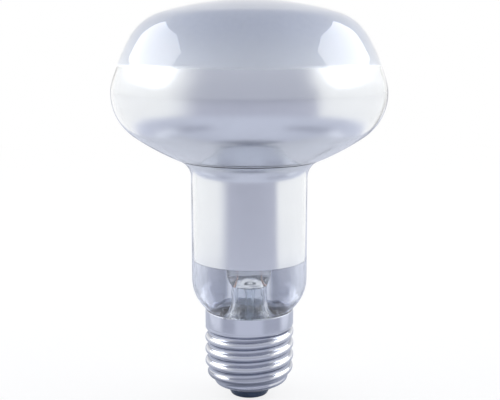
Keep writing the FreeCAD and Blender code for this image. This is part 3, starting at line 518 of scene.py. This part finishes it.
# %% Mirror layer
LAYER = 0.1  # mm from the glass to the far side of the layer
LAYER_GAP = 0.03  # mm from the glass to its near side


def layer_points(depth):
    """The wall's places at a depth, cut off at the two edges of the mirror."""
    places = wall_points([name for name in ARCS if name not in ("dome", "shoulder")], depth)
    kept = [place for place in places if MIRROR_BOTTOM < place[1] < MIRROR_TOP]
    (across, up), radius, _, _ = ARCS["side"]
    radius -= depth
    top = (across + math.sqrt(radius**2 - (MIRROR_TOP - up) ** 2), MIRROR_TOP)
    return [top] + kept + [(kept[-1][0], MIRROR_BOTTOM)]


layer_places = layer_points(WALL + LAYER_GAP)
layer_places += layer_points(WALL + LAYER)[::-1]
layer_places.append(layer_places[0])
mirror = turn_on_lathe("mirror_skin", layer_places, [mirror_layer], lambda step: 0)
settle(mirror, "mirror_layer", "mirror_coating")

# %% [markdown]
# ## The rolled cap
#
# The cap starts as a plain drawn cup of thin sheet, and a wheel rolls the round thread into its
# wall. The thread is one rule: a rounded wave that climbs by one pitch in each turn, fades out
# over the round corner at the bottom and runs out under the collar at the top. Geometry Nodes
# suit that well. A flat grid is bent round the axis, one row after another, and every point asks
# the rule how far out it belongs. Solidify then gives the sheet its thickness. A small helper lets
# the tree be written as plain arithmetic.

# %% Arithmetic for node trees
def feed(tree, socket, value):
    """Give a socket a plain value or a field."""
    if isinstance(value, Field):
        tree.links.new(value.socket, socket)
    else:
        socket.default_value = value


class Field:
    """A value in a node tree that can be used like a number."""

    def __init__(self, tree, socket):
        self.tree = tree
        self.socket = socket

    def work(self, kind, *others):
        """One step of arithmetic, by a Math node."""
        node = self.tree.nodes.new("ShaderNodeMath")
        node.operation = kind
        for socket, value in zip(node.inputs, (self, *others)):
            feed(self.tree, socket, value)
        return Field(self.tree, node.outputs[0])

    def __add__(self, other):
        return self.work("ADD", other)

    def __sub__(self, other):
        return self.work("SUBTRACT", other)

    def __mul__(self, other):
        return self.work("MULTIPLY", other)

    def __truediv__(self, other):
        return self.work("DIVIDE", other)

    def eased(self, start, end):
        """From 0 at start to 1 at end, with soft ends."""
        node = self.tree.nodes.new("ShaderNodeMapRange")
        node.interpolation_type = "SMOOTHSTEP"
        for socket, value in zip(node.inputs, (self, start, end)):
            feed(self.tree, socket, value)
        return Field(self.tree, node.outputs[0])


print("arithmetic ready")

# %% Start and end of a tree
def new_tree(name, inputs):
    """A Geometry Nodes tree with named number inputs, and its inputs as fields."""
    tree = bpy.data.node_groups.new(name, "GeometryNodeTree")
    for label, value in inputs.items():
        kind = "NodeSocketInt" if isinstance(value, int) else "NodeSocketFloat"
        socket = tree.interface.new_socket(label, in_out="INPUT", socket_type=kind)
        socket.default_value = value
    tree.interface.new_socket("Mesh", in_out="OUTPUT", socket_type="NodeSocketGeometry")
    source = tree.nodes.new("NodeGroupInput")
    return tree, {label: Field(tree, source.outputs[label]) for label in inputs}


def vector(tree, x, y, z):
    """A place or a direction from its three parts."""
    node = tree.nodes.new("ShaderNodeCombineXYZ")
    for socket, value in zip(node.inputs, (x, y, z)):
        feed(tree, socket, value)
    return node.outputs["Vector"]


def finish_tree(tree, shape, finish):
    """End a tree in Realize Instances and Set Material."""
    real = tree.nodes.new("GeometryNodeRealizeInstances")
    dress = tree.nodes.new("GeometryNodeSetMaterial")
    dress.inputs["Material"].default_value = finish
    out = tree.nodes.new("NodeGroupOutput")
    tree.links.new(shape, real.inputs["Geometry"])
    tree.links.new(real.outputs["Geometry"], dress.inputs["Geometry"])
    tree.links.new(dress.outputs["Geometry"], out.inputs["Mesh"])


print("trees can start and end")

# %% From a tree to a mesh
def grow(name, tree, values, finishes, more=None):
    """Run a tree on an empty mesh with its own values, and keep the result as a plain mesh."""
    seed = bpy.data.objects.new(name, bpy.data.meshes.new(name))
    bpy.context.scene.collection.objects.link(seed)
    nodes_modifier = seed.modifiers.new("shape", "NODES")
    nodes_modifier.node_group = tree
    for item in tree.interface.items_tree:
        if item.in_out == "INPUT" and item.name in values:
            nodes_modifier[item.identifier] = values[item.name]
    if more:
        more(seed)
    shaped = seed.evaluated_get(bpy.context.evaluated_depsgraph_get())
    result = bpy.data.meshes.new_from_object(shaped)
    seed.modifiers.clear()
    seed.data = result
    result.name = name
    marks = [face.material_index for face in result.polygons]
    lowest = min(marks)
    marks = [mark - lowest for mark in marks]
    result.materials.clear()
    for finish in finishes:
        result.materials.append(finish)
    result.polygons.foreach_set("material_index", marks)
    return seed


print("trees can become meshes")

# %% [markdown]
# The wave of the thread is made of equal arcs, a crest and a hollow in turn. Within a quarter of a
# pitch of a crest it is a circle that bulges out, and within a quarter of a hollow it is the same
# circle turned in. Both are cut where they meet, half way up the thread.

# %% Tree of the rolled thread
THREAD = {
    # all lengths in millimetres
    "Pitch": 3.629,
    "Curve": 1.025,
    "Crest Radius": 13.2,
    "First Crest": 17.64,
    "Corner Radius": 8.0,
    "Corner Height": 10.3,
    "Mouth Radius": 6.6,
    "Fade": 5.8,
    "Collar Radius": 13.1,
    "Collar Bottom": CAP_TOP - 4.6,
    "Run In": 1.6,
    "Height": CAP_TOP,
    "Rows": 210,
    "Columns": 216,
}

thread_tree, size_of = new_tree("rolled_thread", THREAD)
parts, links = thread_tree.nodes, thread_tree.links

quarter = size_of["Pitch"] / 4
cut = (size_of["Curve"] * size_of["Curve"] - quarter * quarter).work("SQRT")
depth = size_of["Curve"] - cut
middle = size_of["Crest Radius"] - depth
across = middle - size_of["Corner Radius"]
mouth_turn = ((size_of["Mouth Radius"] - across) / size_of["Corner Radius"]).work("ARCCOSINE")
corner_run = size_of["Corner Radius"] * mouth_turn
run_end = corner_run + size_of["Height"] - size_of["Corner Height"]

grid = parts.new("GeometryNodeMeshGrid")
grid.inputs["Size X"].default_value = 2 * math.pi
feed(thread_tree, grid.inputs["Size Y"], run_end)
feed(thread_tree, grid.inputs["Vertices X"], size_of["Columns"])
feed(thread_tree, grid.inputs["Vertices Y"], size_of["Rows"])
where = parts.new("GeometryNodeInputPosition")
split_place = parts.new("ShaderNodeSeparateXYZ")
links.new(where.outputs["Position"], split_place.inputs["Vector"])
turn = Field(thread_tree, split_place.outputs["X"])
run = Field(thread_tree, split_place.outputs["Y"]) + run_end / 2
print(len(parts), "nodes lay out the flat grid")

# %% Section of the sheet
COLLAR_STEP = 0.08  # mm that the collar stands out from the run-in

lean = ((run - corner_run) / size_of["Corner Radius"]).work("MINIMUM", 0.0)
straight = (run - corner_run).work("MAXIMUM", 0.0)
out_way, up_way = lean.work("COSINE"), lean.work("SINE")
base_radius = across + size_of["Corner Radius"] * out_way
base_height = size_of["Corner Height"] + size_of["Corner Radius"] * up_way + straight

crest = size_of["First Crest"] - size_of["Corner Height"] + corner_run
crest = crest + size_of["Pitch"] * (turn / (2 * math.pi) - 0.5)
phase = (run - crest + quarter).work("FLOORED_MODULO", size_of["Pitch"]) - quarter
in_hollow = phase.work("GREATER_THAN", quarter)
from_top = phase - in_hollow * (quarter * 2)
rise = (size_of["Curve"] * size_of["Curve"] - from_top * from_top).work("SQRT") - cut
wave = rise * (in_hollow * -2.0 + 1.0)

fade = (run - quarter).eased(0.0, size_of["Fade"])
collar = base_height.eased(size_of["Collar Bottom"] - size_of["Run In"], size_of["Collar Bottom"])
on_collar = base_height.work("GREATER_THAN", size_of["Collar Bottom"])
step_out = on_collar * COLLAR_STEP - COLLAR_STEP
lift = wave * fade * (collar * -1.0 + 1.0)
lift = lift + collar * (size_of["Collar Radius"] - middle + step_out)
print(len(parts), "nodes with the section of the sheet")

# %% From the flat grid to the round cap
WELD_REACH = 0.01  # mm, so that the grid's first and last column become one

radius = base_radius + lift * out_way
height = base_height + lift * up_way
spot = vector(thread_tree, radius * turn.work("COSINE") * MM, radius * turn.work("SINE") * MM,
              height * MM)
bend_round = parts.new("GeometryNodeSetPosition")
links.new(grid.outputs["Mesh"], bend_round.inputs["Geometry"])
links.new(spot, bend_round.inputs["Position"])
weld_seam = parts.new("GeometryNodeMergeByDistance")
weld_seam.inputs["Distance"].default_value = WELD_REACH * MM
links.new(bend_round.outputs["Geometry"], weld_seam.inputs["Geometry"])
smooth = parts.new("GeometryNodeSetShadeSmooth")
links.new(weld_seam.outputs["Geometry"], smooth.inputs["Geometry"])
finish_tree(thread_tree, smooth.outputs["Geometry"], plated_cap)
print(len(parts), "nodes in the thread's tree")

# %% Cap shell
SHEET = 0.3


def add_thickness(piece):
    """Give a grown skin the thickness of the sheet, inwards."""
    sheet = piece.modifiers.new("sheet", "SOLIDIFY")
    sheet.thickness = SHEET * MM
    sheet.offset = -1.0
    sheet.material_offset = 1


cap_shell = grow("rolled_cap", thread_tree, THREAD, [plated_cap, dull_inside], add_thickness)
settle(cap_shell, "plated_cap", "cap_shell")

# %% [markdown]
# ## The wound filament
#
# The solid stands for the filament as a plain rod of the coil's outer size. The real one is a fine
# wire wound into a coil, which hangs in a half ring over the hooks and ends in a short leg in each
# clamp. A tree lays points along that path, moves each a little further round the coil, and draws
# the wire through them.

# %% Tree of the wound filament
COIL = {
    # all lengths in millimetres
    "Sweep": 10.0,
    "Leg": 2.2,
    "Coil Radius": 0.45,
    "Wire Radius": 0.06,
    "Pitch": 0.3,
    "Height": (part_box("filament")[0].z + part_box("filament")[1].z) / 2 / MM,
    "Mount Turn": math.radians(10),
    "Points": 1400,
}

coil_tree, size_of = new_tree("wound_filament", COIL)
parts, links = coil_tree.nodes, coil_tree.links

line = parts.new("GeometryNodeMeshLine")
feed(coil_tree, line.inputs["Count"], size_of["Points"])
number = Field(coil_tree, parts.new("GeometryNodeInputIndex").outputs["Index"])
half_ring = size_of["Sweep"] * math.pi
whole_path = half_ring + (size_of["Leg"] - size_of["Wire Radius"]) * 2
way_along = number / (size_of["Points"] - 1) * whole_path + size_of["Wire Radius"]

on_ring = (way_along - size_of["Leg"]).work("MAXIMUM", 0.0).work("MINIMUM", half_ring)
past_ring = (way_along - size_of["Leg"] - on_ring).work("ABSOLUTE")
ring_turn = on_ring / size_of["Sweep"] + size_of["Mount Turn"]
coil_turn = way_along / size_of["Pitch"] * (2 * math.pi)
winding = size_of["Coil Radius"] - size_of["Wire Radius"]

out_from_axis = size_of["Sweep"] + winding * coil_turn.work("COSINE")
coil_x = ring_turn.work("COSINE") * out_from_axis + past_ring * size_of["Mount Turn"].work("SINE")
coil_y = ring_turn.work("SINE") * out_from_axis - past_ring * size_of["Mount Turn"].work("COSINE")
coil_z = winding * coil_turn.work("SINE") + size_of["Height"]
print(len(parts), "nodes lay out the coil")

# %% From points to a wire
WIRE_SIDES = 6

place_points = parts.new("GeometryNodeSetPosition")
links.new(line.outputs["Mesh"], place_points.inputs["Geometry"])
links.new(vector(coil_tree, coil_x * MM, coil_y * MM, coil_z * MM), place_points.inputs["Position"])
to_curve = parts.new("GeometryNodeMeshToCurve")
links.new(place_points.outputs["Geometry"], to_curve.inputs["Mesh"])
section = parts.new("GeometryNodeCurvePrimitiveCircle")
section.inputs["Resolution"].default_value = WIRE_SIDES
feed(coil_tree, section.inputs["Radius"], size_of["Wire Radius"] * MM)
wire = parts.new("GeometryNodeCurveToMesh")
wire.inputs["Fill Caps"].default_value = True
links.new(to_curve.outputs["Curve"], wire.inputs["Curve"])
links.new(section.outputs["Curve"], wire.inputs["Profile Curve"])
finish_tree(coil_tree, wire.outputs["Mesh"], tungsten)
print(len(parts), "nodes in the filament's tree")

# %% Wound filament
wound_filament = grow("wound_filament", coil_tree, COIL, [tungsten])
settle(wound_filament, "tungsten", "filament")

# %% [markdown]
# ## Pieces that keep their own solids
#
# The stem, the wires and the parts of the contact already have the right shape. They only get
# their finish, through the material slots of their own objects.

# %% Finishes for the other pieces
FINISHES = {
    "stem_flare": stem_glass,
    "exhaust_tube": stem_glass,
    "support_rod": stem_glass,
    "fuse_sleeve": stem_glass,
    "seal_wire_left": copper_wire,
    "seal_wire_right": copper_wire,
    "fuse_wire": copper_wire,
    "inner_lead_left": lead_wire,
    "inner_lead_right": lead_wire,
    "side_lead": lead_wire,
    "contact_lead": lead_wire,
    "filament_hook_1": tungsten,
    "filament_hook_2": tungsten,
    "filament_hook_3": tungsten,
    "contact_plate": plated_cap,
    "cap_insulator": black_glass,
    "contact_solder": solder,
    "rim_weld": solder,
    "cap_cement": cement,
}
for name, finish in FINISHES.items():
    mesh = nodes[name].data
    mesh.materials.clear()
    mesh.materials.append(finish)
print(len(FINISHES), "pieces finished")

# %% [markdown]
# ## Floor, backdrop and light
#
# Bright metal has no look of its own: it shows what stands round it. In front of the bulb, where
# the camera stands, the studio is grey, and both sides are white. A cylinder turns its reflection
# by twice the angle of its face, so a grey sector of some 55 degrees to each side of the camera
# becomes a grey band down the middle of the neck, and the white sides fill the rest. The band has
# a soft left edge and a sharper right one, so the sector has them too. Overhead the studio is
# grey, and behind the bulb it is white. The camera sees only plain white.

# %% Studio colours
FRONT_GREY = (0.49, 0.505, 0.59)
ROOF_GREY = (0.56, 0.58, 0.66)
SIDE_WHITE = (1.0, 1.0, 1.0)
SECTOR_LEFT = (math.radians(36), math.radians(74))
SECTOR_RIGHT = (math.radians(50), math.radians(64))
ROOF_EDGE = (0.5, 0.8)


def blend(tree, share, first, second):
    """A colour between two others, each a plain colour or a field."""
    node = tree.nodes.new("ShaderNodeMixRGB")
    feed(tree, node.inputs["Fac"], share)
    for label, colour in (("Color1", first), ("Color2", second)):
        feed(tree, node.inputs[label], (*colour, 1) if isinstance(colour, tuple) else colour)
    return Field(tree, node.outputs["Color"])


def split_in_fields(tree, socket):
    """The three parts of a direction or a place, as fields."""
    node = tree.nodes.new("ShaderNodeSeparateXYZ")
    tree.links.new(socket, node.inputs["Vector"])
    return [Field(tree, part) for part in node.outputs]


def away_from_camera(x, y):
    """The angle between a horizontal direction and the way to the camera, 0 to pi."""
    return x.work("ABSOLUTE").work("ARCTAN2", y * -1.0)


def out_of_sector(x, y):
    """From 0 in the grey sector in front to 1 beside it. Its left edge is softer than its right."""
    right = x.work("GREATER_THAN", 0.0)
    start, end = [right * (b - a) + a for a, b in zip(SECTOR_LEFT, SECTOR_RIGHT)]
    return away_from_camera(x, y).eased(start, end)


print("studio grey", FRONT_GREY, "in front and", ROOF_GREY, "overhead")

# %% World
world = bpy.data.worlds.new("studio")
bpy.context.scene.world = world
world.use_nodes = True
sky = world.node_tree
sky.nodes.clear()
way = sky.nodes.new("ShaderNodeTexCoord").outputs["Generated"]
way_x, way_y, way_z = split_in_fields(sky, way)
walls = blend(sky, out_of_sector(way_x, way_y), FRONT_GREY, SIDE_WHITE)
studio = blend(sky, way_z.eased(*ROOF_EDGE), walls, ROOF_GREY)
graded = sky.nodes.new("ShaderNodeBackground")
feed(sky, graded.inputs["Color"], studio)
white = sky.nodes.new("ShaderNodeBackground")
white.inputs["Color"].default_value = (1, 1, 1, 1)
seen = sky.nodes.new("ShaderNodeLightPath")
choose = sky.nodes.new("ShaderNodeMixShader")
result = sky.nodes.new("ShaderNodeOutputWorld")
sky.links.new(seen.outputs["Is Camera Ray"], choose.inputs["Fac"])
sky.links.new(graded.outputs["Background"], choose.inputs[1])
sky.links.new(white.outputs["Background"], choose.inputs[2])
sky.links.new(choose.outputs["Shader"], result.inputs["Surface"])
print(len(sky.nodes), "nodes in the world")

# %% [markdown]
# The floor is matt, so it holds the soft shadow of the bulb. The camera sees it mostly as plain
# white that glows by itself. Further away it sees nothing but this glow, so the floor meets the
# backdrop without a line.

# %% Floor
FLOOR_REACH = 3.0

corners = [(x * FLOOR_REACH, y * FLOOR_REACH, 0) for x, y in ((-1, -1), (1, -1), (1, 1), (-1, 1))]
floor_mesh = bpy.data.meshes.new("floor")
floor_mesh.from_pydata(corners, [], [(0, 1, 2, 3)])
floor = bpy.data.objects.new("floor", floor_mesh)
bpy.context.scene.collection.objects.link(floor)
floor_finish = new_finish("floor_white", Roughness=0.9)
floor_mesh.materials.append(floor_finish)
print("floor laid,", 2 * FLOOR_REACH, "m wide")

# %% [markdown]
# What the camera sees of the floor isn't what the metal sees. The bowl faces down, so it mirrors
# the floor near the cap, where a photographer would lay a grey card. Right round the cap the floor
# is painted darker still, a painted shadow that the bulb mirrors. The collar mirrors a ring round
# that: two darker strips in front to each side, and pale sides. Further out the floor is grey in
# front and white at the sides, like the studio, and the neck mirrors that part. Each shade ends in a
# soft edge. Its two numbers are where the edge starts and ends, in metres or degrees.

# %% Places on the floor
RING_INSIDE, RING_OUTSIDE = (0.065, 0.085), (0.092, 0.108)
STRIPS_EDGE, SIDES_EDGE = (26, 42), (62, 82)
MIDDLE_EDGE = (0.0, 0.02)
SIDES_SHIFT = 12  # degrees that the right pale side starts later than the left one

ground = floor_finish.node_tree
spot_x, spot_y, _ = split_in_fields(ground, ground.nodes.new("ShaderNodeTexCoord").outputs["Object"])
from_cap = (spot_x * spot_x + spot_y * spot_y).work("SQRT")
beside = out_of_sector(spot_x, spot_y)
aside = away_from_camera(spot_x, spot_y)
ring = from_cap.eased(*RING_INSIDE) * (from_cap.eased(*RING_OUTSIDE) * -1.0 + 1.0)
strips = ring * aside.eased(*map(math.radians, STRIPS_EDGE))
right_side = spot_x.eased(*MIDDLE_EDGE)
shifted = aside + right_side * math.radians(-SIDES_SHIFT)
pale_sides = ring * shifted.eased(*map(math.radians, SIDES_EDGE))
print("ring from", RING_INSIDE[1], "to", RING_OUTSIDE[0], "m round the cap")

# %% Shades for metal and glass
CARD_GREY, STRIP_GREY = (0.60, 0.62, 0.70), (0.43, 0.445, 0.52)
PALE_GREY, NEAR_PAINTED_SHADOW = (0.80, 0.82, 0.88), (0.28, 0.295, 0.35)
FAR_GREY, FAR_WHITE = (0.485, 0.492, 0.565), (0.95, 0.95, 0.95)
PAINTED_SHADOW_EDGE, CARD_EDGE = (0.018, 0.038), (0.125, 0.2)

card = blend(ground, strips, CARD_GREY, STRIP_GREY)
card = blend(ground, pale_sides, card, PALE_GREY)
# Painted shadow: the floor right round the cap is darker for every ray but the camera's.
card = blend(ground, from_cap.eased(*PAINTED_SHADOW_EDGE), NEAR_PAINTED_SHADOW, card)
far_floor = blend(ground, beside, FAR_GREY, FAR_WHITE)
front_floor = blend(ground, from_cap.eased(*CARD_EDGE), card, far_floor)
print("card from", PAINTED_SHADOW_EDGE[1], "to", CARD_EDGE[0], "m round the cap")

# %% [markdown]
# Behind the cap lies the wedge of floor that the camera sees. Metal and glass find one even grey
# there, and glass sees it glow a little, as the camera does. To the metal the white sides glow as
# well, so that their reflection stays white down to the floor.

# %% What sees the floor
WEDGE_TIP, WEDGE_SPREAD, WEDGE_EDGE = 0.26, 0.3, 0.02
WEDGE_START = (-0.011, -0.008)
WEDGE_GREY, SEEN_WHITE = (0.54, 0.56, 0.62), (0.96, 0.96, 0.96)

wedge = ((spot_y + WEDGE_TIP) * WEDGE_SPREAD - spot_x.work("ABSOLUTE")).eased(0.0, WEDGE_EDGE)
wedge = wedge * spot_y.eased(*WEDGE_START)
path = ground.nodes.new("ShaderNodeLightPath")
by_camera, by_metal, by_glass = [
    Field(ground, path.outputs[f"Is {kind} Ray"]) for kind in ("Camera", "Glossy", "Transmission")]
painted = blend(ground, wedge, front_floor, WEDGE_GREY)
painted = blend(ground, by_camera, painted, SEEN_WHITE)
print("wedge seen by the camera from", WEDGE_START[0], "m back")

# %% Glow of the floor
NEAR_GLOW, GLOW_EDGE = 0.8, (0.1, 0.7)
GLASS_GLOW, SIDE_GLOW, SIDE_GLOW_EDGE = 0.15, 0.9, (0.15, 0.21)

glow_share = (from_cap.eased(*GLOW_EDGE) * (1.0 - NEAR_GLOW) + NEAR_GLOW) * by_camera
glow_share = glow_share + wedge * by_glass * GLASS_GLOW
side_glow = beside * from_cap.eased(*SIDE_GLOW_EDGE) * (wedge * -1.0 + 1.0)
glow_share = glow_share + side_glow * by_metal * SIDE_GLOW

shader = ground.nodes["Principled BSDF"]
feed(ground, shader.inputs["Base Color"], painted)
glow = ground.nodes.new("ShaderNodeEmission")
choose = ground.nodes.new("ShaderNodeMixShader")
feed(ground, choose.inputs["Fac"], glow_share)
ground.links.new(shader.outputs["BSDF"], choose.inputs[1])
ground.links.new(glow.outputs["Emission"], choose.inputs[2])
ground.links.new(choose.outputs["Shader"], ground.nodes["Material Output"].inputs["Surface"])
print(len(ground.nodes), "nodes in the floor's finish")

# %% [markdown]
# Two large soft lamps stand at the left and the right, a little behind the bulb and a third of the
# way up the sky. The smooth outer glass of the front mirrors each as a bright patch.

# %% Soft lamps
HEAD = Vector((0, 0, 0.09))
LAMP_SIZE = (1.0, 0.5)
LAMP_COLOUR = (0.97, 0.98, 1.0)


def soft_lamp(name, place, power):
    """A large lamp that faces the head of the bulb."""
    lamp = bpy.data.lights.new(name, "AREA")
    lamp.shape = "RECTANGLE"
    lamp.size, lamp.size_y = LAMP_SIZE
    lamp.energy = power
    lamp.color = LAMP_COLOUR
    holder = bpy.data.objects.new(name, lamp)
    holder.location = place
    holder.rotation_euler = (HEAD - Vector(place)).to_track_quat("-Z", "Y").to_euler()
    bpy.context.scene.collection.objects.link(holder)


soft_lamp("lamp_left", (-0.82, 0.24, 0.61), 3.9)
soft_lamp("lamp_right", (0.82, 0.24, 0.61), 4.5)
print("lamps", LAMP_SIZE[0], "by", LAMP_SIZE[1], "m")

# %% [markdown]
# Light that passes the bulb crosses four surfaces of glass, and the mirror layer turns it many
# times. So the renderer follows more bounces here than usual. The Standard view shows colours as
# they are written.

# %% Render settings
bpy.context.scene.view_settings.view_transform = "Standard"
bpy.context.scene.cycles.max_bounces = 32
bpy.context.scene.cycles.glossy_bounces = 16
bpy.context.scene.cycles.transmission_bounces = 24
print("view", bpy.context.scene.view_settings.view_transform)
